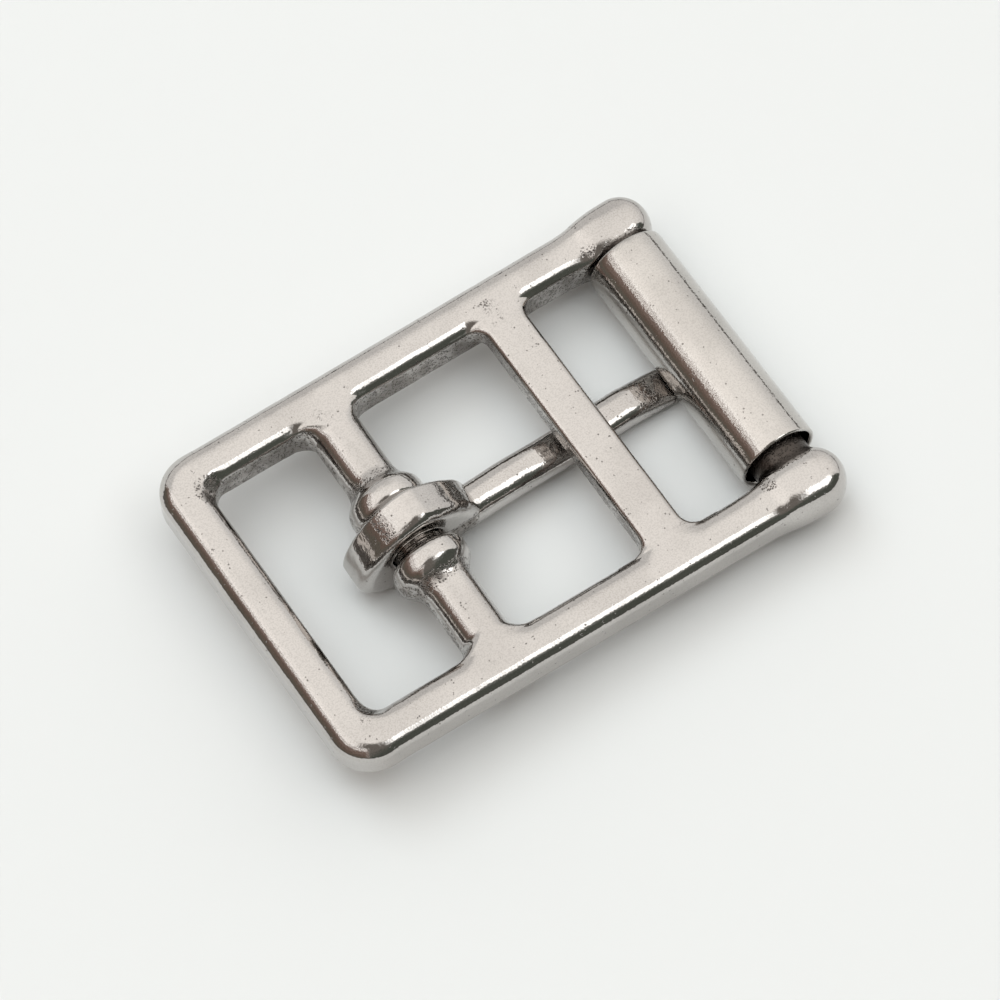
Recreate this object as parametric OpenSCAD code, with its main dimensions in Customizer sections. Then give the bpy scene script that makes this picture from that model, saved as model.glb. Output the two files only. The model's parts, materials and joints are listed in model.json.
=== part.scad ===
// Roller buckle for a 25 mm strap: a cast frame, a loose tongue and a loose roller.
// It lies as it would on a table, on the bottom of the tongue's eye and on the roller.
// X runs along the rails to the roller, Y along the bars, Z up. Millimetres.

/* [Strap] */
// Clear width between the rails beside the tongue bar
strap_gap = 26; // [24:0.5:30]

/* [Frame] */
// Width of a side rail, seen from above
rail_w = 4; // [3.8:0.1:4.4]
// Height of the rails and of the heel bar
rail_h = 4.6; // [4.4:0.1:5]
// Radius that rounds the long edges of the rails
edge_r = 1.3; // [1:0.1:1.6]
// Angle by which each rail opens towards the roller
rail_splay = 0.46; // [0:0.02:0.6]
// Distance from the tongue bar back to the middle of the heel bar
heel_reach = 14.5; // [14:0.5:18]
// Width of the heel bar, seen from above
heel_w = 4.1; // [3.8:0.1:4.4]
// Outer radius of the two heel corners
corner_r = 3.7; // [3.5:0.1:4.6]
// Radius of the fillets inside the openings
fillet_r = 1.5; // [1:0.1:2]

/* [Keeper bar] */
// Distance from the tongue bar to the middle of the keeper bar
keeper_reach = 18; // [17:0.5:19]
// Width of the keeper bar, seen from above
keeper_w = 4.4; // [4:0.1:5]
// Thickness of the keeper bar, whose top is flush with the rails
keeper_t = 2.5; // [2:0.1:2.6]

/* [Tongue bar] */
// Radius of the bar that the tongue turns on
bar_r = 2.3; // [2.2:0.05:2.35]
// Outer radius of the two collars that keep the eye in the middle
collar_r = 3.6; // [3.4:0.1:3.8]
// Radius of a collar's rounded rim
collar_rim_r = 1.15; // [1:0.05:1.2]
// Distance from the middle of the bar to the middle of a collar
collar_reach = 3.35; // [3.3:0.05:3.8]

/* [Roller] */
// Distance from the tongue bar to the roller's axis
roller_reach = 31; // [30.6:0.1:31.4]
// Outer radius of the roller
roller_r = 3.8; // [3.7:0.05:3.85]
// Wall of the roller tube
roller_wall = 0.45; // [0.4:0.05:0.5]
// How far the roller can slide along its bar
roller_slack = 1.6; // [0.6:0.1:2.4]
// Radius of the cast bar inside the roller
roller_bar_r = 2.75; // [2.5:0.05:2.9]
// Radius of a knuckle, the upright bulb at the end of a rail
knuckle_r = 2.95; // [2.8:0.05:3.1]
// Height of a knuckle
knuckle_h = 7; // [6.4:0.1:7.2]

/* [Tongue] */
// Width of the flat strip that is bent into the eye
eye_w = 3.6; // [3.2:0.1:3.7]
// Clearance between the tongue bar and the eye's hole
eye_play = 0.25; // [0.15:0.05:0.3]
// Width of the prong
prong_w = 3.4; // [3:0.1:3.6]
// Sideways lean of the prong on its loose eye, as it lies
prong_yaw = 1.7; // [0:0.1:2.5]

/* [Hidden] */
$fn = 64;

steel = [0.72, 0.70, 0.68];
over = 1;

// The rails beside the tongue bar, and how far apart they are at the heel and at the roller.
rail_y = strap_gap / 2 + rail_w / 2;
heel_rail_y = rail_y - heel_reach * tan(rail_splay);
roller_rail_y = rail_y + roller_reach * tan(rail_splay);
rail_run = heel_reach + roller_reach - (corner_r - heel_w / 2);
corner_mid_r = corner_r - rail_w / 2;
web_rise = 0.3;
keeper_inner_y = strap_gap / 2 + keeper_reach * tan(rail_splay);
keeper_mid_z = (rail_h - keeper_t) / 2;
keeper_edge_r = 0.8;

// The knuckles, and the room between them for the roller.
knuckle_x = [roller_reach + 0.1, roller_reach + 1.15];
knuckle_mid_z = -0.15;
neck_len = 7;
neck_step = 0.1;
roller_room_y = strap_gap / 2 - 0.25;
roller_len = 2 * roller_room_y - roller_slack;
end_gap = 0.2;

// The eye: a ring over the bar, with a fuller bend low at its back, which stands on the table.
ring_c = [-0.1, 0.1];
ring_r = 4.95;
heel_bend_c = [-2.6, -2.1];
heel_bend_r = 3.3;
lap_c = [5.1, 0.95];
lap_r = 1.15;
root_x = 3.5;
root_step = 0.2;
eye_y = 0.23;

// The prong's side view, from its root to the tip below the roller: x, top and bottom.
prong_side = [
    [root_x, -0.5, -4.3],
    [7, -0.45, -3.75],
    [14, -0.6, -3.75],
    [20, -0.8, -3.85],
    [24, -1.1, -3.85],
    [roller_reach - 4.5, -1.7, -3.8],
    [roller_reach - 2.7, -2.95, -3.75]
];
prong_edge_r = 1.1;
prong_mid_z = -2.2;
prong_t = 3.6;

// The lie: both the eye's lower bend and the roller touch the table.
stand_dx = roller_reach - heel_bend_c[0];
stand_dist = norm([stand_dx, heel_bend_c[1]]);
lie = asin((heel_bend_r - roller_r) / stand_dist) - atan2(heel_bend_c[1], stand_dx);
lift = roller_r + roller_reach * sin(lie);
heel_side = (heel_w / 2 - edge_r) * cos(lie) + (rail_h / 2 - edge_r) * sin(lie) + edge_r;
x_low = -heel_reach * cos(lie) - heel_side;
x_high = knuckle_x[1] * cos(lie) + knuckle_r + (knuckle_h / 2 - knuckle_r + knuckle_mid_z) * sin(lie);
shift = -(x_low + x_high) / 2;

// Everything is drawn flat, with the tongue bar's axis as the origin, and then laid down.
module laid()
    translate([shift, 0, lift]) rotate([0, lie, 0]) children();

// A flat shape in X and Z, given a width along Y about y = 0.
module slab(width)
    rotate([90, 0, 0]) linear_extrude(width, center = true) children();

// A rectangle whose corners are true arcs.
module rounded(w, h, r) {
    square([w - 2 * r, h], center = true);
    square([w, h - 2 * r], center = true);
    for (x = [-1, 1], y = [-1, 1])
        translate([x * (w / 2 - r), y * (h / 2 - r)]) circle(r);
}

// A web that fills the corner between two bars, with its hollow side towards +X and +Y.
module web(r, height)
    linear_extrude(height, center = true)
        difference() {
            translate([-over, -over]) square(r + over);
            translate([r, r]) circle(r);
        }

// One side of the frame, for y above zero: rail, heel corner and knuckle.
module rail() {
    translate([-heel_reach + corner_mid_r, heel_rail_y - corner_mid_r, 0]) rotate([0, 0, 90 + rail_splay]) {
        rotate_extrude(angle = 90 - rail_splay) intersection() {
            translate([corner_mid_r, 0]) rounded(rail_w, rail_h, edge_r);
            translate([0, -rail_h / 2]) square([corner_r, rail_h]);
        }
        translate([corner_mid_r, 0, 0]) rotate([90, 0, 0])
            linear_extrude(rail_run) rounded(rail_w, rail_h, edge_r);
    }
    translate([0, roller_rail_y, knuckle_mid_z]) knuckle();
}

// A knuckle: a bulb that is longer than it is wide, with a neck that runs down into the rail.
module knuckle() {
    stem = knuckle_h - 2 * knuckle_r;
    for (x = knuckle_x) translate([x, 0, 0]) {
        for (end = [-1, 1]) translate([0, 0, end * stem / 2]) sphere(knuckle_r);
        cylinder(r = knuckle_r, h = stem, center = true);
    }
    translate([knuckle_x[0], 0, 0]) rotate([0, -90, rail_splay])
        cylinder(r1 = knuckle_r - neck_step, r2 = rail_w / 2 - neck_step, h = neck_len);
}

// The bar that the tongue turns on, with a collar on each side of the eye.
module tongue_bar() {
    rotate([90, 0, 0]) cylinder(r = bar_r, h = 2 * rail_y, center = true);
    for (side = [-1, 1])
        translate([0, side * collar_reach, 0]) rotate([90, 0, 0])
            rotate_extrude() translate([collar_r - collar_rim_r, 0]) circle(collar_rim_r);
}

// Fillets where the bars meet the rails, for y above zero.
module fillets() {
    rail_web_h = rail_h - 2 * (edge_r - web_rise);
    keeper_web_h = keeper_t - 2 * web_rise;
    heel_inner_x = -heel_reach + heel_w / 2;
    heel_inner_y = heel_rail_y - rail_w / 2;
    translate([heel_inner_x, heel_inner_y, 0]) mirror([0, 1, 0]) web(fillet_r, rail_web_h);
    translate([-bar_r, strap_gap / 2, 0]) rotate([0, 0, 180]) web(fillet_r, rail_web_h);
    translate([bar_r, strap_gap / 2, 0]) mirror([0, 1, 0]) web(fillet_r, rail_web_h);
    translate([keeper_reach, keeper_inner_y, keeper_mid_z]) {
        translate([-keeper_w / 2, 0, 0]) rotate([0, 0, 180]) web(fillet_r, keeper_web_h);
        translate([keeper_w / 2, 0, 0]) mirror([0, 1, 0]) web(fillet_r, keeper_web_h);
    }
}

// The frame, cast in one piece: rails, heel bar, tongue bar, keeper bar, knuckles, roller bar.
module frame()
    color(steel) laid() {
        difference() {
            for (side = [0, 1]) mirror([0, side, 0]) {
                rail();
                fillets();
            }
            translate([roller_reach - 2 * knuckle_r, -roller_room_y, -roller_r])
                cube([4 * knuckle_r, 2 * roller_room_y, 2 * roller_r]);
        }
        translate([-heel_reach, 0, 0]) rotate([90, 0, 0])
            linear_extrude(2 * (heel_rail_y - corner_mid_r), center = true) rounded(heel_w, rail_h, edge_r);
        translate([keeper_reach, 0, keeper_mid_z]) rotate([90, 0, 0])
            linear_extrude(2 * rail_y, center = true) rounded(keeper_w, keeper_t, keeper_edge_r);
        tongue_bar();
        translate([roller_reach, 0, 0]) rotate([90, 0, 0])
            cylinder(r = roller_bar_r, h = 2 * roller_rail_y, center = true);
    }

// The point at an angle on a circle.
function on_circle(centre, r, angle) = centre + r * [cos(angle), sin(angle)];

// The eye's outline: the ring, the bend at its back and the lapped end, joined by straight runs.
module eye_outline() {
    translate(ring_c) circle(ring_r);
    translate(heel_bend_c) circle(heel_bend_r);
    translate(lap_c) circle(lap_r);
    polygon([
        on_circle(ring_c, ring_r, 160),
        on_circle(heel_bend_c, heel_bend_r, 160),
        on_circle(heel_bend_c, heel_bend_r, 270),
        [root_x, prong_side[0][2]],
        [lap_c[0] + lap_r, prong_side[1][1] - root_step],
        on_circle(lap_c, lap_r, 45),
        on_circle(ring_c, ring_r, 60)
    ]);
}

// The prong's side view as one closed outline.
module prong_outline()
    polygon(concat(
        [for (p = prong_side) [p[0], p[1]]],
        [for (k = [len(prong_side) - 1 : -1 : 0]) [prong_side[k][0], prong_side[k][2]]]
    ));

// The tongue: one forged strip, bent round the bar into an eye and drawn out into the prong.
module tongue()
    color(steel) laid() translate([0, eye_y, 0]) {
        difference() {
            slab(eye_w) eye_outline();
            rotate([90, 0, 0]) cylinder(r = bar_r + eye_play, h = eye_w + 2 * over, center = true);
        }
        rotate([0, 0, prong_yaw]) intersection() {
            slab(prong_w) prong_outline();
            translate([0, 0, prong_mid_z]) rotate([90, 0, 90]) linear_extrude(roller_reach)
                rounded(prong_w, prong_t, prong_edge_r);
        }
    }

// The roller: a thin tube, loose on its bar and pushed towards the upper knuckle.
module roller()
    color(steel) laid() translate([roller_reach, roller_room_y - end_gap - roller_len / 2, 0])
        rotate([90, 0, 0]) difference() {
            cylinder(r = roller_r, h = roller_len, center = true);
            cylinder(r = roller_r - roller_wall, h = roller_len + 2 * over, center = true);
        }

frame();
tongue();
roller();
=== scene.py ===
# Roller buckle for a 25 mm strap, in tumbled stainless steel, lying on a white table top.
import json
import math
from functools import partial

import bpy
import numpy as np
from mathutils import Matrix, Vector


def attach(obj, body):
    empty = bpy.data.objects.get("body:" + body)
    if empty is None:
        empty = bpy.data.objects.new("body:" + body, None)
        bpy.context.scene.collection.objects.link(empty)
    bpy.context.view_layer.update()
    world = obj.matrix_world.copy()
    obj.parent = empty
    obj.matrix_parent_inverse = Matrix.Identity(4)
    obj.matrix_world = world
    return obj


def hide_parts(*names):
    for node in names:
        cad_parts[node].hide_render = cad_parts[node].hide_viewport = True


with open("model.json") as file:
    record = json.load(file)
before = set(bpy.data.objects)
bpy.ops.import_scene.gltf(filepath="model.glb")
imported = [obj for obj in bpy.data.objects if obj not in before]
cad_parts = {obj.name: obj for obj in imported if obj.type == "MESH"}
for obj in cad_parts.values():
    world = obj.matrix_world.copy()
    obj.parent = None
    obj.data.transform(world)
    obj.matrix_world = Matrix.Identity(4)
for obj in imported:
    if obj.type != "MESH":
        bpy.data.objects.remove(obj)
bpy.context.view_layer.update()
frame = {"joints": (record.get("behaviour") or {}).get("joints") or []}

# The frame: one investment casting of stainless steel, tumbled until its tops are smooth and bright.
# Rails, heel bar, tongue bar, keeper bar, knuckles and roller bar are one piece of metal. Its inner
# corners, which the tumbling stones do not reach, keep the mould's skin of sand. The same mask also
# paints shade: darker inner sides and undersides in the openings, and a near black roller bar in its tube.
MM = 0.001
pivots = {joint["name"]: Vector(joint["pos_m"]) for joint in frame["joints"]}
bar_axis = pivots["tongue_swing"]
along = (pivots["roller_spin"] - bar_axis).normalized()
across = Vector((0, 1, 0))
upward = along.cross(across)
roller_reach = (pivots["roller_spin"] - bar_axis).length / MM

# Sizes are in millimetres, in the buckle's flat drawing: x runs from the tongue bar's middle towards
# the roller, y along the bars, and z up from the middle of the rails' thickness.
rail_mid = 14.99
rail_splay = 0.008
rail_w = 3.98
rail_h = 4.6
rail_edge = 0.6
rail_bevel = 0.82
heel_bevel = 0.97
bevel_soft = 0.3
heel_x = -14.55
heel_w = 4.13
heel_skew = 0.0065
corner_mid_r = 1.75
heel_fillet = 2.2
corner_funnel = 0.5
bar_w = 4.7
bar_edge = 2.28
bar_far_edge = 1.75
bar_fillet = 1.45
keeper_x = 17.96
keeper_w = 4.28
keeper_t = 2.5
keeper_edge = 0.6
keeper_far_edge = 0.66
keeper_fillet = 1.5
collar_face_y = 2.15
collar_edge = 1.0
collar_places = (3.0, 3.8, 4.3, 4.7, 5.1, 5.5, 6.0, 6.8)
collar_radii = (3.62, 3.6, 3.48, 3.2, 2.84, 2.5, 2.2, 1.6)
knuckle_x = 31.6
knuckle_y = 15.06
knuckle_run = 0.52
knuckle_places = (23.8, 26, 27.2, 28.6, 30, 31.6)
knuckle_half_w = (1.5, 1.84, 2.14, 2.6, 2.84, 2.92)
knuckle_tops = (1.8, 1.98, 2.22, 2.86, 3.1, 3.12)
barrel_r = 4.3
barrel_z = 0.17
roller_bar_r = 2.75
roller_room_y = 12.5
roller_room_mid = 0.28
roller_room_r = 4.4
top_crown = 0.0765
crown_power = 2.4
frame_step = 0.2
bars_meet_rails = (11.5, 13.5)
bar_begins = (5.0, 3.5)
under_eye_begins = (2.9, 2.3)
heel_begins = (-12.0, -13.5)
funnel_place = (-12.2, 12.6)
funnel_reach = (2.0, 0.4)
cos_45 = 0.7071
bar_top_flat = 0.7
bar_bevel_off = 2
keeper_crown = 0.4
keeper_bevel_off = 3
under_eye_rim = 0.05
collar_slant = 0.85
collar_fillet = 0.5
knuckle_fillet = 0.5
knuckle_side_fall = 0.04
knuckle_top_soft = 0.7
knuckle_base_z = 3.3
knuckle_base_soft = 1.0
roller_room_fillet = 0.25
roller_bar_fillet = 0.4
cast_swells = ((0.025, 3.7, 11), (0.008, 1.3, 12))
lattice_size = 16


def lay_down(points):
    """Turns flat drawing places in millimetres into places in the part's own frame, in metres."""
    turn = np.array([along, across, upward])
    return points @ turn * MM + np.array(bar_axis)


def soft_step(low, high, value):
    t = np.clip((value - low) / (high - low), 0, 1)
    return t * t * (3 - 2 * t)


def filleted(a, b, r):
    """Joins two shapes, given as distances, with a fillet of radius r between them."""
    return np.maximum(r, np.minimum(a, b)) - np.hypot(np.maximum(r - a, 0), np.maximum(r - b, 0))


def blended(a, b, k):
    """Joins two shapes so that they run into each other over a width k."""
    h = np.maximum(k - np.abs(a - b), 0) / k
    return np.minimum(a, b) - h * h * k / 4


def rounded(a, b):
    """Distance to the corner where two faces, given as distances, meet, round on its outside."""
    return np.hypot(np.maximum(a, 0), np.maximum(b, 0)) + np.minimum(np.maximum(a, b), 0)


def edged(side, height, half_h, edge):
    """A plate whose outline is at side = 0 and whose long edges are rounded."""
    return rounded(side + edge, np.abs(height) - (half_h - edge)) - edge


def smooth_line(x, places, values):
    """A smooth curve through some values at some places."""
    at = np.array(places, float)
    value = np.array(values, float)
    slope = np.gradient(value, at)
    i = np.clip(np.searchsorted(at, x) - 1, 0, len(at) - 2)
    run = at[i + 1] - at[i]
    t = np.clip((x - at[i]) / run, 0, 1)
    start = value[i] * (2 * t ** 3 - 3 * t ** 2 + 1) + slope[i] * run * (t ** 3 - 2 * t ** 2 + t)
    stop = value[i + 1] * (3 * t ** 2 - 2 * t ** 3) + slope[i + 1] * run * (t ** 3 - t ** 2)
    return start + stop


def unevenness(x, y, z, wave, seed):
    """A smooth random swell between about -1 and 1, with hills about one wave apart."""
    lattice = np.random.default_rng(seed).uniform(-1, 1, (lattice_size,) * 3)
    cell = [np.floor(v / wave).astype(int) for v in (x, y, z)]
    part = [v / wave - c for v, c in zip((x, y, z), cell)]
    part = [p * p * (3 - 2 * p) for p in part]
    total = 0
    for i in (0, 1):
        for j in (0, 1):
            for k in (0, 1):
                weight = 1
                for corner, p in zip((i, j, k), part):
                    weight = weight * (p if corner else 1 - p)
                spot = tuple((c + step) % lattice_size for c, step in zip(cell, (i, j, k)))
                total = total + weight * lattice[spot]
    return total


def uneven(shape, x, y, z, swells):
    """Adds swells to a shape, each given as its height, its wave and its seed."""
    for height, wave, seed in swells:
        shape = shape - height * unevenness(x, y, z, wave, seed)
    return shape


def meeting(a, b, k):
    """Keeps what two shapes share, with a soft ridge of width k where their faces meet."""
    return -blended(-a, -b, k)


def frame_plan(x, y):
    """Distance in the plan view to the outline of rails and heel bar."""
    skew = soft_step(-8, -12, x) * heel_skew
    xs = x + y * skew
    ys = np.abs(y) * rail_mid / (rail_mid + rail_splay * x)
    half_w = (rail_w + (heel_w - rail_w) * soft_step(-11, -13, x)) / 2
    qx = heel_x + corner_mid_r - xs
    qy = ys - rail_mid + corner_mid_r
    outward = rounded(qx, qy) - corner_mid_r
    inward = filleted(xs - heel_x - half_w, rail_mid - ys - half_w, heel_fillet)
    return np.where(outward > 0, outward - half_w, inward)


def casting(x, y, z):
    """Distance to the skin of the cast frame, in millimetres, negative inside the metal."""
    rails = frame_plan(x, y)
    beside = soft_step(*bars_meet_rails, np.abs(y))

    bar_plan = filleted(rails, np.maximum(np.abs(x) - bar_w / 2, np.abs(y) - rail_mid), bar_fillet)
    near_bar = soft_step(*bar_begins, np.abs(x))
    at_bar = near_bar * (1 - beside)
    rounding = bar_edge + (bar_far_edge - bar_edge) * soft_step(-0.5, 0.5, x)
    edge = rail_edge + (rounding - rail_edge) * at_bar
    under_eye = soft_step(*under_eye_begins, np.abs(y)) * near_bar
    edge = edge + (bar_w / 2 - under_eye_rim - edge) * under_eye
    off_middle = np.clip(bar_plan + rail_w / 2, 0, rail_w / 2)
    crown = top_crown * off_middle ** crown_power * (1 - bar_top_flat * at_bar) * (1 - under_eye)
    body = edged(bar_plan, np.abs(z) + crown, rail_h / 2, edge)
    bevel_w = rail_bevel + (heel_bevel - rail_bevel) * soft_step(*heel_begins, x)
    from_corner = np.hypot(x - funnel_place[0], np.abs(y) - funnel_place[1])
    bevel_w = bevel_w + corner_funnel * soft_step(*funnel_reach, from_corner)
    bevel = (bar_plan + np.abs(z) - rail_h / 2 + bevel_w) * cos_45
    body = meeting(body, bevel - bar_bevel_off * at_bar, bevel_soft)
    body = np.maximum(body, x - knuckle_x)

    keeper_side = np.abs(x - keeper_x) - keeper_w / 2
    keeper_plan = filleted(rails, np.maximum(keeper_side, np.abs(y) - rail_mid), keeper_fillet)
    rounding = keeper_edge + (keeper_far_edge - keeper_edge) * soft_step(-0.5, 0.5, x - keeper_x)
    edge = rounding + (rail_edge - rounding) * beside
    edge = np.minimum(edge, keeper_t / 2 - 0.01)
    off_middle = np.clip(keeper_plan + keeper_w / 2, 0, keeper_w / 2)
    crown = top_crown * off_middle ** crown_power * (keeper_crown + (1 - keeper_crown) * beside)
    lift = (rail_h - keeper_t) / 2
    keeper = edged(keeper_plan, z - lift + crown * (z > lift), keeper_t / 2, edge)
    bevel = (keeper_plan + np.abs(z) - rail_h / 2 + rail_bevel) * cos_45
    keeper = meeting(keeper, bevel - keeper_bevel_off * (1 - beside), bevel_soft)
    keeper = np.maximum(keeper, keeper_side - 2 * keeper_fillet)
    body = np.minimum(body, keeper)

    cone = (np.hypot(x, z) - smooth_line(np.abs(y), collar_places, collar_radii)) * collar_slant
    collar = rounded(cone + collar_edge, collar_face_y - np.abs(y) + collar_edge) - collar_edge
    collar = np.maximum(collar, np.abs(y) - collar_places[-1])
    body = blended(body, collar, collar_fillet)

    half_w = smooth_line(x, knuckle_places, knuckle_half_w)
    out = np.hypot(np.maximum(x - knuckle_x - knuckle_run, 0), np.abs(y) - knuckle_y)
    knuckle = np.hypot(out + barrel_r - half_w, z - barrel_z) - barrel_r
    top = z - smooth_line(x, knuckle_places, knuckle_tops) + knuckle_side_fall * out ** 2
    knuckle = meeting(knuckle, top, knuckle_top_soft)
    knuckle = meeting(knuckle, -z - knuckle_base_z, knuckle_base_soft)
    knuckle = np.maximum(knuckle, knuckle_places[0] - x)
    body = blended(body, knuckle, knuckle_fillet)

    axis = np.hypot(x - roller_reach, z)
    room = np.maximum(axis - roller_room_r, np.abs(y - roller_room_mid) - roller_room_y)
    body = -filleted(-body, room, roller_room_fillet)
    roller_bar = np.maximum(axis - roller_bar_r, np.abs(y) - knuckle_y)
    body = filleted(body, roller_bar, roller_bar_fillet)
    return uneven(body, x, y, z, cast_swells)


def skin_of(shape, low, high, step):
    """Draws a closed quad mesh over the zero surface of a shape and slides its points onto it."""
    axes = [np.arange(a, b + step, step) for a, b in zip(low, high)]
    x, y, z = np.meshgrid(*axes, indexing="ij", sparse=True)
    x, y, z = np.broadcast_arrays(x, y, z)
    field = shape(x, y, z)
    inside = field < 0
    cells = tuple(n - 1 for n in field.shape)
    total = np.zeros(cells + (3,))
    count = np.zeros(cells)
    directions = np.arange(3)
    crossings = []
    for axis in directions:
        first = [slice(None)] * 3
        second = [slice(None)] * 3
        first[axis] = slice(0, -1)
        second[axis] = slice(1, None)
        a, b = field[tuple(first)], field[tuple(second)]
        crossing = inside[tuple(first)] != inside[tuple(second)]
        place = np.argwhere(crossing)
        part = a[crossing] / (a[crossing] - b[crossing])
        spot = place.astype(float)
        spot[:, axis] += part
        crossings.append((place, inside[tuple(first)][crossing]))
        others = [o for o in directions if o != axis]
        for i in (0, 1):
            for j in (0, 1):
                cell = place.copy()
                cell[:, others[0]] -= i
                cell[:, others[1]] -= j
                ok = np.all((cell >= 0) & (cell < cells), axis=1)
                np.add.at(total, tuple(cell[ok].T), spot[ok])
                np.add.at(count, tuple(cell[ok].T), 1)
    used = count > 0
    number = -np.ones(cells, int)
    number[used] = np.arange(used.sum())
    points = total[used] / count[used][:, None] * step + np.array(low)
    quads = []
    for axis, (place, starts_inside) in zip(directions, crossings):
        others = [(axis + 1) % 3, (axis + 2) % 3]
        ring = []
        for i, j in ((1, 1), (0, 1), (0, 0), (1, 0)):
            cell = place.copy()
            cell[:, others[0]] -= i
            cell[:, others[1]] -= j
            ring.append(number[tuple(cell.T)])
        ring = np.stack(ring, 1)
        quads.append(np.where(starts_inside[:, None], ring, ring[:, ::-1]))
    quads = np.concatenate(quads)
    slides = 4
    flattest = 0.05
    for _ in range(slides):
        value, slope = slope_at(shape, points, 0.02)
        points = points - (value / np.maximum((slope ** 2).sum(1), flattest))[:, None] * slope
    return points, quads


def slope_at(shape, points, reach):
    """The shape's distance at some points, and which way it grows there."""
    x, y, z = points.T
    slope = np.stack([
        shape(x + reach, y, z) - shape(x - reach, y, z),
        shape(x, y + reach, z) - shape(x, y - reach, z),
        shape(x, y, z + reach) - shape(x, y, z - reach),
    ], 1) / (2 * reach)
    return shape(x, y, z), slope


def metal_piece(name, shape, low, high, step, masks):
    """Makes one object from a shape: a smooth mesh with its true normals and some painted masks."""
    points, quads = skin_of(shape, low, high, step)
    mesh = bpy.data.meshes.new(name)
    mesh.from_pydata(lay_down(points).tolist(), [], quads.tolist())
    mesh.validate()
    mesh.update()
    mesh.polygons.foreach_set("use_smooth", np.ones(len(mesh.polygons), bool))
    slope = slope_at(shape, points, 0.03)[1]
    slope /= np.linalg.norm(slope, axis=1)[:, None]
    turn = np.array([along, across, upward])
    mesh.normals_split_custom_set_from_vertices((slope @ turn).tolist())
    for mask_name, mask in masks.items():
        layer = mesh.attributes.new(mask_name, "FLOAT", "POINT")
        layer.data.foreach_set("value", mask(points, slope).astype(np.float32))
    piece = bpy.data.objects.new(name, mesh)
    bpy.context.collection.objects.link(piece)
    return piece


opening_from_heel = 0.3
opening_from_knuckle = 3.5
facing_down = (0.75, -0.1)
facing_sideways = (0.5, 0.15)
low_on_side = (1.5, -1)
corner_sand_reach = (1.8, 0.2)
corner_sand_on_top = 0.22
# Painted shade with the sand: the openings' inner sides are darkened, a little more low down.
inner_side_sand_and_shade = 0.62
low_side_sand_and_shade = 0.1
heel_corner_place = (-12.5, 12.55)
heel_corner_reach = (1.9, 1.15)
heel_corner_sand_upper = 0.58
heel_corner_sand_lower = 0.34
collar_foot_place = (2.5, 5.7)
collar_slope_y = 5.55
collar_slope_reach = (0.85, 0.45)
collar_slope_r = (3.5, 3.1)
collar_slope_half_x = 3.6
collar_slope_sand = 0.56
neck_place = (28.0, 13.9)
neck_reach = (1.2, 0.3)
neck_sand = 0.5
roller_bar_room = 3.3
roller_bar_ends = (13.8, 13.1)
# Painted shade: the roller bar inside its tube is turned near black, where the tube shades it.
roller_bar_painted_shade = 1.3


def sand_and_shade_in_openings(points, slope):
    """How much sand and painted shade: the mould's sand inside the openings, most in their corners, with
    painted shade on faces that look down, low on the inner sides, and on the roller bar in its tube.
    """
    x, y, z = points.T
    rail = np.abs(np.abs(y) - rail_mid - rail_splay * x) - rail_w / 2
    bars = [np.abs(x - mid) - w / 2 for mid, w in ((0, bar_w), (keeper_x, keeper_w), (heel_x, heel_w))]
    corner = np.hypot(np.maximum(rail, 0), np.maximum(np.minimum.reduce(bars), 0))
    from_bar = np.hypot(x, z)
    collar_foot = np.hypot(from_bar - collar_foot_place[0], np.abs(y) - collar_foot_place[1])
    from_slope = np.abs(np.abs(y) - collar_slope_y)
    collar_slope = soft_step(*collar_slope_reach, from_slope) * soft_step(*collar_slope_r, from_bar)
    collar_slope = collar_slope * (np.abs(x) < collar_slope_half_x) * collar_slope_sand
    reach = np.minimum(corner, collar_foot)
    # Painted shade: in the corners the darkening is strongest on faces that look down.
    faces_down = soft_step(*facing_down, slope[:, 2])
    opening = (x > heel_x + opening_from_heel) & (x < knuckle_x - opening_from_knuckle)
    opening = opening & (np.abs(y) < rail_mid)
    in_corner = opening * soft_step(*corner_sand_reach, reach)
    in_corner = in_corner * (corner_sand_on_top + (1 - corner_sand_on_top) * faces_down)
    side = opening * soft_step(*facing_sideways, slope[:, 2])
    inner_side = side * (inner_side_sand_and_shade + low_side_sand_and_shade * soft_step(*low_on_side, z))
    from_heel_corner = np.hypot(x - heel_corner_place[0], np.abs(y) - heel_corner_place[1])
    heel_corner_sand = np.where(y > 0, heel_corner_sand_upper, heel_corner_sand_lower)
    heel_corner = soft_step(*heel_corner_reach, from_heel_corner) * heel_corner_sand
    from_neck = np.hypot(x - neck_place[0], np.abs(y) - neck_place[1])
    neck = soft_step(*neck_reach, from_neck) * neck_sand
    # Painted shade on the roller bar inside its tube.
    by_roller_bar = np.hypot(x - roller_reach, z) < roller_bar_room
    shade_inside_roller = by_roller_bar * soft_step(*roller_bar_ends, np.abs(y)) * roller_bar_painted_shade
    return np.maximum.reduce([in_corner, inner_side, heel_corner, collar_slope, neck, shade_inside_roller])


cast_frame = metal_piece(
    "cast_frame", casting, (-17.6, -19, -4.4), (35.8, 19, 4.4), frame_step, {"sand_and_shade": sand_and_shade_in_openings}
)


def node_of(tree, kind, **settings):
    node = tree.nodes.new(kind)
    for key, value in settings.items():
        setattr(node, key, value)
    return node


def math_of(tree, operation, *values, clamp=False):
    """One step of arithmetic in a node tree, on numbers and other nodes' outputs."""
    node = node_of(tree, "ShaderNodeMath", operation=operation, use_clamp=clamp)
    for socket, value in zip(node.inputs, values):
        if isinstance(value, (int, float)):
            socket.default_value = value
        else:
            tree.links.new(value, socket)
    return node.outputs[0]


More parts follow.
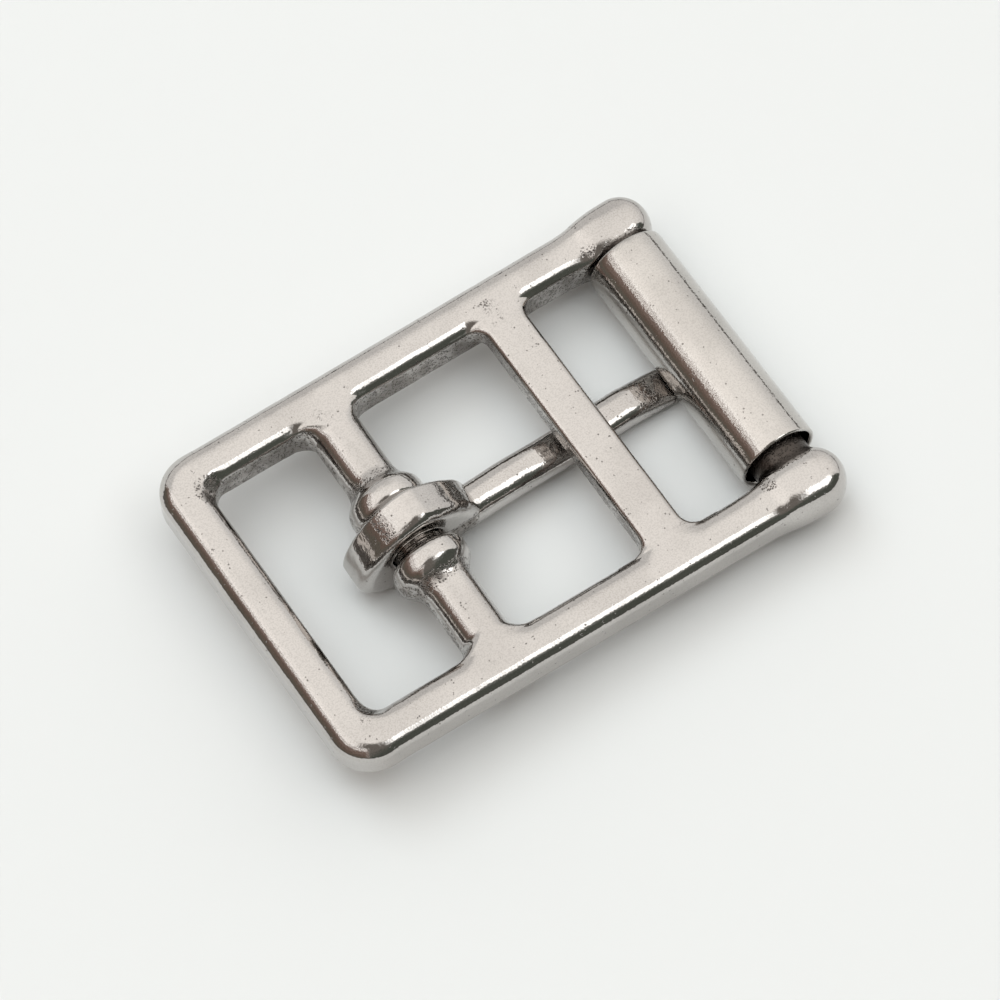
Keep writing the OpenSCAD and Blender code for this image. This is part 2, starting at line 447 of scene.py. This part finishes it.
def ramp_of(tree, value, begins, full):
    """Grows smoothly from 0 to 1 between two values, upwards or downwards."""
    node = node_of(tree, "ShaderNodeMapRange", interpolation_type="SMOOTHSTEP")
    tree.links.new(value, node.inputs["Value"])
    node.inputs["From Min"].default_value = begins
    node.inputs["From Max"].default_value = full
    return node.outputs["Result"]


def mix_of(tree, mask, under, over):
    """Lays one colour over another where the mask says."""
    node = node_of(tree, "ShaderNodeMix", data_type="RGBA")
    tree.links.new(mask, node.inputs["Factor"])
    for key, value in (("A", under), ("B", over)):
        if isinstance(value, tuple):
            node.inputs[key].default_value = value
        else:
            tree.links.new(value, node.inputs[key])
    return node.outputs["Result"]


blotches_per_m = 420
pits_per_m = 2900
pit_groups_per_m = 1300
holes_per_m = 5200
hole_groups_per_m = 2600
dull_places_per_m = 160
clouds_per_m = 6800
pit_dark = 0.85
hole_dark = 0.9
dull_dark = 0.09
cloud_dark = 0.12
painted_shade_dark = 0.96
blotch_rough = 0.08
least_rough = 0.04
sand_rough = 0.24
pit_rough = 0.2
grain_height = 0.6
pit_depth = 1.4
hole_depth = 2.6


def tumbled_skin_group():
    """Shader group: the fine pits and haze of tumbled steel, the mould's sand in corners, and painted shade
    where the mask says: a darker sand colour, and near black past full.
    """
    group = bpy.data.node_groups.new("tumbled_skin", "ShaderNodeTree")
    for name, kind, default in (
        ("Sand and Shade", "NodeSocketFloat", 0.0),
        ("Pit Amount", "NodeSocketFloat", 0.5),
        ("Grain Scale", "NodeSocketFloat", 7000.0),
        ("Bright Metal", "NodeSocketColor", (0.56, 0.535, 0.515, 1)),
        # The sand colour is darker than the sand alone, a painted reflection of the shaded floor that the
        # openings' inner sides mirror.
        ("Sandy Shaded Metal", "NodeSocketColor", (0.32, 0.298, 0.28, 1)),
        # The dark colour is set dark enough to paint the roller bar's shade inside its tube.
        ("Dark Metal", "NodeSocketColor", (0.074, 0.063, 0.056, 1)),
    ):
        socket = group.interface.new_socket(name, in_out="INPUT", socket_type=kind)
        socket.default_value = default
    group.interface.new_socket("Color", in_out="OUTPUT", socket_type="NodeSocketColor")
    group.interface.new_socket("Roughness", in_out="OUTPUT", socket_type="NodeSocketFloat")
    group.interface.new_socket("Height", in_out="OUTPUT", socket_type="NodeSocketFloat")
    given = node_of(group, "NodeGroupInput")
    out = node_of(group, "NodeGroupOutput")
    place = node_of(group, "ShaderNodeTexCoord")
    link = group.links.new
    maths = partial(math_of, group)
    ramp = partial(ramp_of, group)

    def noise(scale, detail):
        node = node_of(group, "ShaderNodeTexNoise")
        node.inputs["Detail"].default_value = detail
        link(place.outputs["Object"], node.inputs["Vector"])
        if isinstance(scale, (int, float)):
            node.inputs["Scale"].default_value = scale
        else:
            link(scale, node.inputs["Scale"])
        return node.outputs["Fac"]

    def cell_distance(scale):
        node = node_of(group, "ShaderNodeTexVoronoi", feature="F1")
        node.inputs["Scale"].default_value = scale
        link(place.outputs["Object"], node.inputs["Vector"])
        return node.outputs["Distance"]

    # The metal's grain, and single pits, few and far between.
    grain = noise(given.outputs["Grain Scale"], 0)
    blotch = noise(blotches_per_m, 4)
    pit_groups = ramp(noise(pit_groups_per_m, 2), 0.61, 0.66)
    pit = maths("MULTIPLY", ramp(cell_distance(pits_per_m), 0.32, 0.2), pit_groups)
    pit = maths("MULTIPLY", pit, given.outputs["Pit Amount"])

    # The mould's sand: crowded holes at its ragged edge, then an unbroken matt skin.
    sand_edge = maths("MULTIPLY_ADD", blotch, 0.9, -0.45)
    sandiness = maths("ADD", given.outputs["Sand and Shade"], sand_edge)
    dotted = ramp(sandiness, 0.22, 0.46)
    # The sand amount also carries the mask's painted shade.
    sand = ramp(sandiness, 0.45, 0.75)
    hole_groups = ramp(noise(hole_groups_per_m, 2), 0.38, 0.56)
    holes = maths("MULTIPLY", ramp(cell_distance(holes_per_m), 0.52, 0.36), hole_groups)
    holes = maths("MULTIPLY", holes, dotted)

    # What darkens the metal: wide dull places, a fine cloudiness, and painted shade where the mask is full,
    # mostly on the roller bar inside its tube.
    dull_places = maths("MULTIPLY", ramp(noise(dull_places_per_m, 2), 0.42, 0.64), dull_dark)
    cloudiness = ramp(noise(clouds_per_m, 1), 0.42, 0.66)
    dull = maths("MULTIPLY_ADD", cloudiness, cloud_dark, dull_places)
    # Painted shade: where the mask goes past full, the metal is darkened to the dark colour.
    painted_shade = maths("MULTIPLY", ramp(given.outputs["Sand and Shade"], 0.95, 1.25), painted_shade_dark)
    dull = maths("MAXIMUM", dull, painted_shade)
    dirt = maths("MAXIMUM", maths("MULTIPLY", pit, pit_dark), dull)
    dirt = maths("MAXIMUM", maths("MULTIPLY", holes, hole_dark), dirt)

    metal = mix_of(group, sand, given.outputs["Bright Metal"], given.outputs["Sandy Shaded Metal"])
    metal = mix_of(group, dirt, metal, given.outputs["Dark Metal"])
    link(metal, out.inputs["Color"])

    haze = maths("MULTIPLY_ADD", blotch, blotch_rough, least_rough)
    rough = maths("MULTIPLY_ADD", sand, sand_rough, haze)
    rough = maths("MULTIPLY_ADD", pit, pit_rough, rough, clamp=True)
    link(rough, out.inputs["Roughness"])

    height = maths("MULTIPLY", grain, grain_height)
    height = maths("SUBTRACT", height, maths("MULTIPLY", pit, pit_depth))
    height = maths("SUBTRACT", height, maths("MULTIPLY", holes, hole_depth))
    link(height, out.inputs["Height"])
    return group


tumbled_skin = tumbled_skin_group()


def tumbled_steel(name, sand_and_shade_mask, bright, pits, grain_scale, relief_mm):
    """A bright steel with the tumbled skin on it, and sand and painted shade where the painted mask says."""
    steel = bpy.data.materials.new(name)
    steel.use_nodes = True
    tree = steel.node_tree
    shader = tree.nodes["Principled BSDF"]
    shader.inputs["Metallic"].default_value = 1.0
    skin = node_of(tree, "ShaderNodeGroup", node_tree=tumbled_skin)
    skin.inputs["Pit Amount"].default_value = pits
    skin.inputs["Grain Scale"].default_value = grain_scale
    skin.inputs["Bright Metal"].default_value = bright
    if sand_and_shade_mask:
        mask = node_of(tree, "ShaderNodeAttribute", attribute_name=sand_and_shade_mask)
        tree.links.new(mask.outputs["Fac"], skin.inputs["Sand and Shade"])
    bump = node_of(tree, "ShaderNodeBump")
    bump.inputs["Strength"].default_value = 1.0
    bump.inputs["Distance"].default_value = relief_mm * MM
    tree.links.new(skin.outputs["Color"], shader.inputs["Base Color"])
    tree.links.new(skin.outputs["Roughness"], shader.inputs["Roughness"])
    tree.links.new(skin.outputs["Height"], bump.inputs["Height"])
    tree.links.new(bump.outputs["Normal"], shader.inputs["Normal"])
    return steel


cast_bright = (0.56, 0.537, 0.517, 1)
cast_steel = tumbled_steel(
    "cast_steel", "sand_and_shade", cast_bright, pits=0.85, grain_scale=5600, relief_mm=0.011
)
cast_frame.data.materials.append(cast_steel)
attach(cast_frame, "frame")
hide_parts("frame")

# The tongue: a steel rod whose end has been forged flat, bent hot round the tongue bar into an eye
# and lapped onto its own root. The hammer has left flats, soft ridges and a creased, cut end.
eye_y = 0.23
eye_half_w = 1.8
eye_crisp_edge = 0.4
eye_round_edge = 1.1
eye_hole_r = 2.5
eye_flats = (
    (86, 5.25), (63.6, 4.92), (46.5, 5.19), (105, 4.72), (122.5, 4.54), (140, 4.48), (152, 4.81),
    (162, 5.15), (180, 5.9), (216, 6.35), (236, 6.1), (252, 5.85), (272.7, 5.2),
)
eye_soft = 0.4
cut_end = (24, 6.07)
cut_end_soft = 0.3
cut_end_dents = (0.12, 1.3, 23)
lap_x = 2.2
lap_z = -0.35
lap_soft = 0.3
hole_soft = 0.6
rod_y = 0.5
rod_lean = 0.0297
rod_r = 1.83
rod_places = (0, 3, 6, 9, 12, 13.5, 15, 17, 19, 21, 23, 24.2, 25.4, 27, 28.6)
rod_tops = (-0.5, -0.45, -0.45, -0.5, -0.62, -0.82, -1.08, -1.22, -1.12, -1.0, -1.05, -1.25, -1.6, -2.2, -2.9)
rod_bottoms = (-5.2, -4.6, -4.05, -3.85, -3.8, -3.8, -3.8, -3.8, -3.8, -3.8, -3.8, -3.85, -3.85, -3.85, -3.85)
rod_begins_x = 0.8
root_fillet = 0.25
tip_x = 28.3
tip_soft = 0.8
tongue_swells = ((0.03, 2.6, 21), (0.012, 1.1, 22), (0.006, 0.45, 24))
tongue_step = 0.13


def flat_face(x, z, angle, reach):
    """Distance to a flat that faces an angle, counted from +X up to +Z round the tongue bar."""
    a = math.radians(angle)
    return x * math.cos(a) + z * math.sin(a) - reach


def forging(x, y, z):
    """Distance to the skin of the forged tongue, in millimetres."""
    flats = None
    for angle, reach in eye_flats:
        flat = flat_face(x, z, angle, reach)
        flats = flat if flats is None else meeting(flats, flat, eye_soft)
    dent_depth, dent_wave, dent_seed = cut_end_dents
    dented_end = flat_face(x, z, *cut_end) + dent_depth * unevenness(x, y, z, dent_wave, dent_seed)
    eye_side = meeting(flats, dented_end, cut_end_soft)
    beside = y - eye_y
    edge = np.where(beside > 0, eye_crisp_edge, eye_round_edge)
    eye = rounded(eye_side + edge, np.abs(beside) - (eye_half_w - edge)) - edge
    eye = meeting(eye, blended(x - lap_x, lap_z - z, lap_soft), lap_soft)

    from_middle = y - rod_y - rod_lean * x
    top = smooth_line(x, rod_places, rod_tops)
    bottom = smooth_line(x, rod_places, rod_bottoms)
    half_h = (top - bottom) / 2
    round_r = np.minimum(rod_r, half_h)
    height = np.abs(z - (top + bottom) / 2) - (half_h - round_r)
    rod = rounded(np.abs(from_middle) - (rod_r - round_r), height) - round_r
    rod = meeting(rod, x - tip_x, tip_soft)
    rod = np.maximum(rod, rod_begins_x - x)
    body = blended(eye, rod, root_fillet)
    body = meeting(body, eye_hole_r - np.hypot(x, z), hole_soft)
    return uneven(body, x, y, z, tongue_swells)


root_begins = (1.9, 2.7)
root_ends = (7.0, 5.9)
root_below = (0.9, -0.3)
root_side = (1.2, 0.4)
# Painted shade with the scaly skin: the root is darkened beneath the lap, and the tip where it runs under the
# roller.
root_sand_and_shade = 0.75
tip_begins = (23.4, 25.2)
tip_sand_and_shade = 0.5
scale_patch_angle = 123
scale_patch_reach = (13, 7)
scale_patch_side = (-1.5, -0.6)
scale_patch_r = 3.5
scale_patch_sand = 0.42


def sand_and_shade_on_tongue(points, slope):
    """The scaly skin where the lapped end covers the rod's root and at the rod's tip, with painted shade on
    both, and a scaly patch on the eye's side.
    """
    x, y, z = points.T
    root = soft_step(*root_begins, x) * soft_step(*root_ends, x)
    # Painted shade: darker lowest down, beneath the lap.
    root = root * soft_step(*root_below, z) * soft_step(*root_side, y)
    # Painted shade: the tip is darkened beside the roller.
    tip = soft_step(*tip_begins, x) * tip_sand_and_shade
    from_patch = np.abs(np.degrees(np.arctan2(z, x)) - scale_patch_angle)
    patch = soft_step(*scale_patch_reach, from_patch) * soft_step(*scale_patch_side, y)
    patch = patch * (np.hypot(x, z) > scale_patch_r) * scale_patch_sand
    return np.maximum.reduce([root * root_sand_and_shade, tip, patch])


forged_tongue = metal_piece(
    "forged_tongue", forging, (-7, -2.6, -6.4), (29.2, 4.0, 6.2), tongue_step, {"sand_and_shade": sand_and_shade_on_tongue}
)
forged_bright = (0.55, 0.527, 0.507, 1)
forged_steel = tumbled_steel(
    "forged_steel", "sand_and_shade", forged_bright, pits=0.9, grain_scale=5400, relief_mm=0.012
)
forged_tongue.data.materials.append(forged_steel)
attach(forged_tongue, "tongue")
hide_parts("tongue")

# The roller: a piece of thin steel tube, cut to length and deburred, loose on its bar so that a
# strap slides over it. It has been pushed towards the upper knuckle.
roller_r = 3.8
roller_wall = 0.45
roller_ends = (-11.35, 12.55)
roller_turns = 160
roller_lip = 0.16
roller_rim = 0.7
roller_bands = 40
bore_bands = 12


def roller_profile():
    """The tube's section as radius and place along the axis, once round its wall."""
    low, high = roller_ends
    inner = roller_r - roller_wall
    lip = roller_lip
    outside = []
    for part in np.linspace(0, 1, roller_bands):
        outside.append((roller_r, low + roller_rim + (high - low - 2 * roller_rim) * part))
    start = [(inner + lip, low), (roller_r - lip, low)]
    start += [(roller_r - 0.06, low + 0.05), (roller_r - 0.02, low + 0.2)]
    stop = [(roller_r - 0.02, high - 0.2), (roller_r - 0.06, high - 0.05)]
    stop += [(roller_r - lip, high), (inner + lip, high)]
    inside = [(inner + 0.02, high - 0.12), (inner, high - 0.3)]
    inside += [(inner, high + (low - high) * part) for part in np.linspace(0.05, 0.95, bore_bands)]
    inside += [(inner, low + 0.3), (inner + 0.02, low + 0.12)]
    return start + outside + stop + inside


def roller_mesh():
    """Turns the tube's section once round the roller's axis."""
    profile = roller_profile()
    points = []
    quads = []
    count = len(profile)
    for turn in range(roller_turns):
        angle = 2 * math.pi * turn / roller_turns
        for r, y in profile:
            points.append((roller_reach + r * math.cos(angle), y, r * math.sin(angle)))
    for turn in range(roller_turns):
        after = (turn + 1) % roller_turns
        for k in range(count):
            nxt = (k + 1) % count
            quads.append((turn * count + k, turn * count + nxt, after * count + nxt, after * count + k))
    mesh = bpy.data.meshes.new("roller_tube")
    mesh.from_pydata(lay_down(np.array(points)).tolist(), [], quads)
    mesh.validate()
    mesh.update()
    mesh.polygons.foreach_set("use_smooth", np.ones(len(mesh.polygons), bool))
    return mesh


roller_tube = bpy.data.objects.new("roller_tube", roller_mesh())
bpy.context.collection.objects.link(roller_tube)
roller_bright = (0.57, 0.547, 0.522, 1)
roller_steel = tumbled_steel(
    "roller_steel", None, roller_bright, pits=0.75, grain_scale=5600, relief_mm=0.012
)
roller_tube.data.materials.append(roller_steel)
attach(roller_tube, "roller")
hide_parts("roller")

# The table top: a plain, matt, near-white sheet that the buckle lies on. It isn't part of the object,
# and it is wide enough to fill the picture from every side.
table_half = 0.6
table_white = (0.726, 0.727, 0.715, 1)
table_mesh = bpy.data.meshes.new("table_top")
table_corners = [(a * table_half, b * table_half, 0) for a, b in ((-1, -1), (1, -1), (1, 1), (-1, 1))]
table_mesh.from_pydata(table_corners, [], [(0, 1, 2, 3)])
table_top = bpy.data.objects.new("table_top", table_mesh)
bpy.context.collection.objects.link(table_top)
table_paint = bpy.data.materials.new("matt_white")
table_paint.use_nodes = True
table_shader = table_paint.node_tree.nodes["Principled BSDF"]
table_shader.inputs["Base Color"].default_value = table_white
table_shader.inputs["Roughness"].default_value = 0.9
table_shader.inputs["Specular IOR Level"].default_value = 0.1
table_mesh.materials.append(table_paint)

# The studio: a pale ceiling, a bright window in front of the buckle, and darker walls below them.
# The metal mirrors them: the front wall in its green-black lines, the left one in its brown bands.
world = bpy.data.worlds.new("studio")
bpy.context.scene.world = world
world.use_nodes = True
sky = world.node_tree
sky.nodes.clear()
sky_out = node_of(sky, "ShaderNodeOutputWorld")
sky_light = node_of(sky, "ShaderNodeBackground")
sky_place = node_of(sky, "ShaderNodeTexCoord")
sky.links.new(sky_light.outputs[0], sky_out.inputs[0])
sky_math = partial(math_of, sky)
sky_times = partial(math_of, sky, "MULTIPLY")
sky_ramp = partial(ramp_of, sky)
sky_mix = partial(mix_of, sky)


def sky_dot(direction):
    """The cosine of the angle between the looked-at place and a direction."""
    node = node_of(sky, "ShaderNodeVectorMath", operation="DOT_PRODUCT")
    sky.links.new(sky_place.outputs["Generated"], node.inputs[0])
    node.inputs[1].default_value = Vector(direction).normalized()
    return node.outputs["Value"]


def rise(degrees):
    """How high a direction reaches on the unit sphere, from its angle above the horizon."""
    return math.sin(math.radians(degrees))


def from_height(height, begins, full):
    """Grows from nothing to full between two angles above the horizon, in degrees."""
    return sky_ramp(height, rise(begins), rise(full))


def toward(azimuth, height=0):
    """The direction at an azimuth, counted from +X towards +Y, and a height above the horizon."""
    level = math.cos(math.radians(height))
    return (level * math.cos(math.radians(azimuth)), level * math.sin(math.radians(azimuth)), rise(height))


height_up = sky_dot((0, 0, 1))
level_squared = sky_math("SUBTRACT", 1.0, sky_times(height_up, height_up))
level_part = sky_math("SQRT", sky_math("MAXIMUM", level_squared, 0.01))


def facing(azimuth):
    """The cosine of the angle in plan between the looked-at place and an azimuth."""
    return sky_math("DIVIDE", sky_dot(toward(azimuth)), level_part)


ceiling_low = (0.93, 0.92, 0.90, 1)
ceiling_top = (1.33, 1.29, 1.235, 1)
sky_colour = sky_mix(from_height(height_up, 5, 70), ceiling_low, ceiling_top)

far_grey = (0.86, 0.845, 0.82, 1)
far_side = sky_times(sky_ramp(facing(95), 0.5, 0.88), from_height(height_up, 62, 42))
sky_colour = sky_mix(far_side, sky_colour, far_grey)

window_white = (2.6, 2.62, 2.6, 1)
window_mid = sky_dot(toward(305, 57.5))
window_across = sky_math("ABSOLUTE", sky_math("DIVIDE", sky_dot(toward(35)), window_mid))
window_up = sky_math("ABSOLUTE", sky_math("DIVIDE", sky_dot(toward(125, 32.5)), window_mid))
window = sky_times(sky_ramp(window_across, 0.42, 0.35), sky_ramp(window_up, 0.225, 0.17))
window = sky_times(window, sky_ramp(window_mid, 0.4, 0.5))
sky_colour = sky_mix(window, sky_colour, window_white)

front_grey = (0.27, 0.28, 0.262, 1)
front_green = (0.108, 0.116, 0.1, 1)
front = sky_ramp(facing(290), 0.58, 0.66)
front_below_window = sky_times(front, from_height(height_up, 46, 42))
sky_colour = sky_mix(front_below_window, sky_colour, front_grey)
front_low = sky_times(front, from_height(height_up, 41, 30))
sky_colour = sky_mix(front_low, sky_colour, front_green)

dark_corner_brown = (0.22, 0.2, 0.18, 1)
dark_corner = sky_ramp(sky_dot(toward(234, 52)), 0.743, 0.94)
sky_colour = sky_mix(dark_corner, sky_colour, dark_corner_brown)

glow_white = (1.44, 1.39, 1.33, 1)
edge_brown = (0.36, 0.29, 0.26, 1)
edge_sparkle = (2.4, 2.36, 2.3, 1)
gleam_white = (2.0, 1.97, 1.92, 1)
wall_reds = (0.29, 0.215, 0.185, 1)
wall_deep_reds = (0.19, 0.143, 0.117, 1)
wall_darks = (0.16, 0.143, 0.118, 1)
under_horizon = (0.12, 0.112, 0.105, 1)
wall_speckle = node_of(sky, "ShaderNodeTexNoise")
sky.links.new(sky_place.outputs["Generated"], wall_speckle.inputs["Vector"])
wall_speckle.inputs["Scale"].default_value = 70
wall_speckle.inputs["Detail"].default_value = 3
speckle = sky_math("MULTIPLY", sky_math("SUBTRACT", wall_speckle.outputs["Fac"], 0.5), 0.55)
rough_height = sky_math("ADD", height_up, speckle)
left_glow = sky_ramp(sky_dot(toward(162, 52)), 0.80, 0.96)
sky_colour = sky_mix(left_glow, sky_colour, glow_white)
left_wall = sky_ramp(facing(178), 0.46, 0.58)
wall_top = sky_times(left_wall, from_height(rough_height, 45.5, 43.5))
wall_sparkle = sky_ramp(wall_speckle.outputs["Fac"], 0.51, 0.56)
wall_edge = sky_mix(wall_sparkle, edge_brown, edge_sparkle)
sky_colour = sky_mix(wall_top, sky_colour, wall_edge)
gleam_from = from_height(rough_height, 42, 43)
gleam_to = from_height(rough_height, 47, 46)
wall_gleam = sky_times(left_wall, sky_times(gleam_from, gleam_to))
sky_colour = sky_mix(wall_gleam, sky_colour, gleam_white)
wall_red = sky_times(left_wall, from_height(rough_height, 37, 33))
sky_colour = sky_mix(wall_red, sky_colour, wall_reds)
wall_deep_red = sky_times(left_wall, from_height(height_up, 26, 17))
sky_colour = sky_mix(wall_deep_red, sky_colour, wall_deep_reds)
wall_dark = sky_times(left_wall, from_height(height_up, 14, 11))
sky_colour = sky_mix(wall_dark, sky_colour, wall_darks)
sky_colour = sky_mix(from_height(height_up, 4.2, 3.2), sky_colour, under_horizon)
sky.links.new(sky_colour, sky_light.inputs["Color"])
sky_light.inputs["Strength"].default_value = 1.0

# The lamps: a large soft box on the far side, which throws the shadows towards the camera, and a
# panel overhead. They are kept out of the metal's reflections, where the studio's ceiling stands.
lamp_distance = 2.0
lamp_colour = (0.88, 1.0, 1.07)


def soft_lamp(name, direction, size, power):
    data = bpy.data.lights.new(name, "AREA")
    data.shape = "DISK"
    data.size = size
    data.energy = power
    data.color = lamp_colour
    lamp = bpy.data.objects.new(name, data)
    lamp.location = Vector(direction) * lamp_distance
    lamp.rotation_euler = Vector(direction).to_track_quat("Z", "Y").to_euler()
    lamp.visible_glossy = False
    bpy.context.collection.objects.link(lamp)


soft_lamp("far_box", toward(100, 55), size=1.2, power=8.3)
soft_lamp("overhead_panel", toward(200, 86), size=1.5, power=8.6)

# The camera: a long lens, steeply above the buckle. Its place was found from the frame's straight
# edges in the photograph, and the middle of the tongue bar is laid on the pixel where it is seen.
camera_turn = math.radians(33.50)
camera_tilt = math.radians(63.38)
camera_focal_px = 4802
picture_px = 1000
seen_bar_px = (410.08, 536.39)
px_per_mm = 11.541
sensor_mm = 36

look = along * math.sin(camera_turn) * math.cos(camera_tilt)
look += across * math.cos(camera_turn) * math.cos(camera_tilt)
look -= upward * math.sin(camera_tilt)
right = along * math.cos(camera_turn) - across * math.sin(camera_turn)
up = right.cross(look)
distance = camera_focal_px / px_per_mm * MM
u = (seen_bar_px[0] - picture_px / 2) / camera_focal_px
v = (picture_px / 2 - seen_bar_px[1]) / camera_focal_px
camera_data = bpy.data.cameras.new("camera")
camera_data.sensor_width = sensor_mm
camera_data.lens = camera_focal_px / picture_px * sensor_mm
camera_data.clip_start = 0.01
camera = bpy.data.objects.new("camera", camera_data)
camera.matrix_world = Matrix.Translation(bar_axis - (look + right * u + up * v) * distance) @ Matrix(
    ((right.x, up.x, -look.x), (right.y, up.y, -look.y), (right.z, up.z, -look.z))
).to_4x4()
bpy.context.collection.objects.link(camera)
bpy.context.scene.camera = camera
bpy.context.scene.view_settings.view_transform = "Standard"
